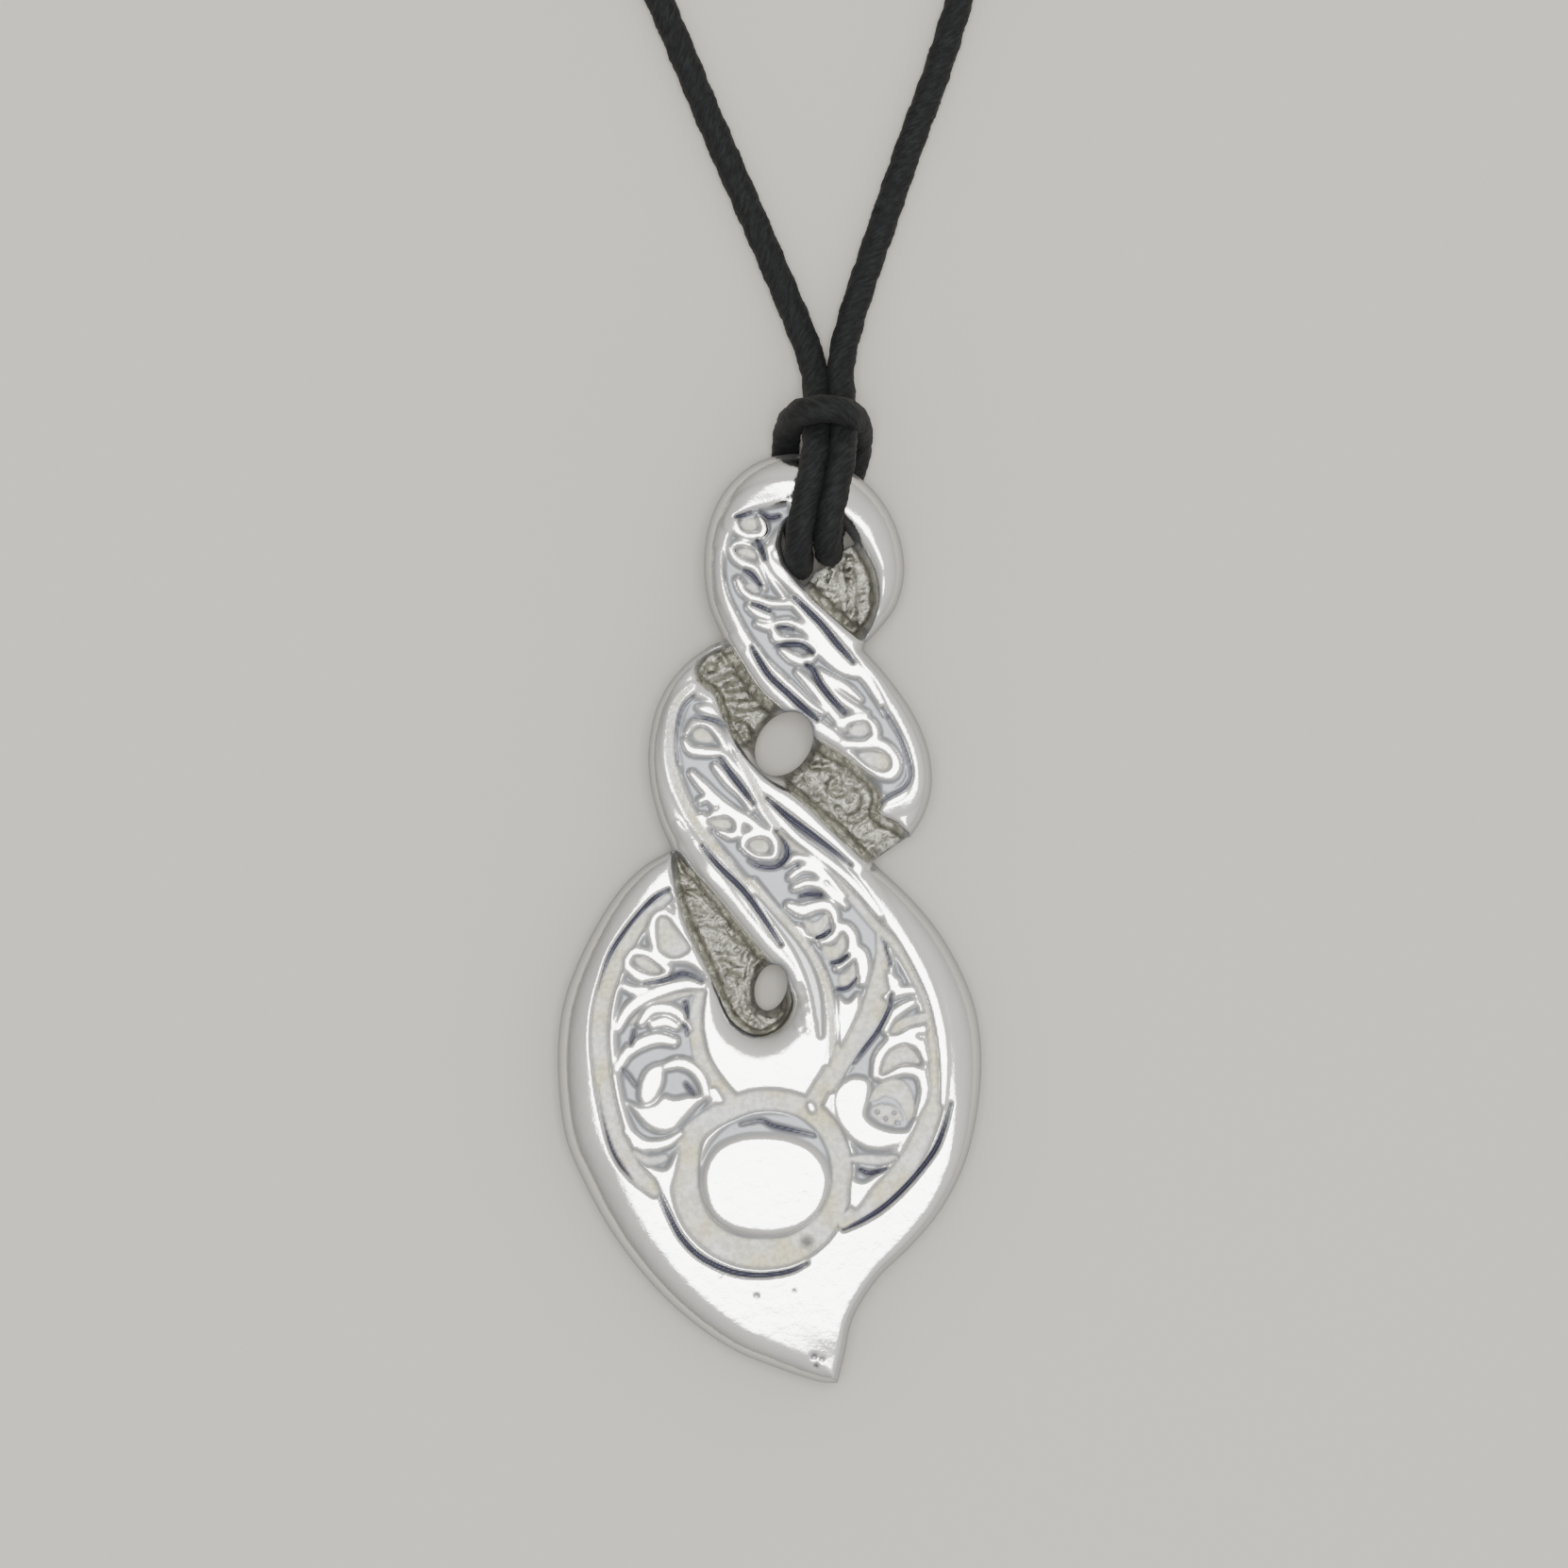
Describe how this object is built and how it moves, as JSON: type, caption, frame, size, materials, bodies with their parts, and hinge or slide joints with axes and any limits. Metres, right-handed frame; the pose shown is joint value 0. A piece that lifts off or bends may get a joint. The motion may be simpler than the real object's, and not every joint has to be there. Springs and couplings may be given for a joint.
{
  "type": "pewter infinity pendant on a waxed cotton cord",
  "caption": "Cast pewter twist pendant with a leaf-shaped lobe and raised scroll relief, hitched on a knotted black cord loop.",
  "frame": {"origin": "middle of the pendant's outline, on the flat back that it lies on", "axes": "+Y up to the ring and the cord, +X to the right seen from the face, +Z out of the face"},
  "size_m": [0.0926, 0.2301, 0.0064],
  "materials": {
    "pewter": "cast pewter, polished high spots and dull recesses",
    "cord": "black waxed cotton, twisted"
  },
  "bodies": {
    "root": {"infinity_pendant": "pewter", "front_cord": "cord", "back_cord_left": "cord", "back_cord_right": "cord", "end_knot": "cord"}
  },
  "joints": []
}
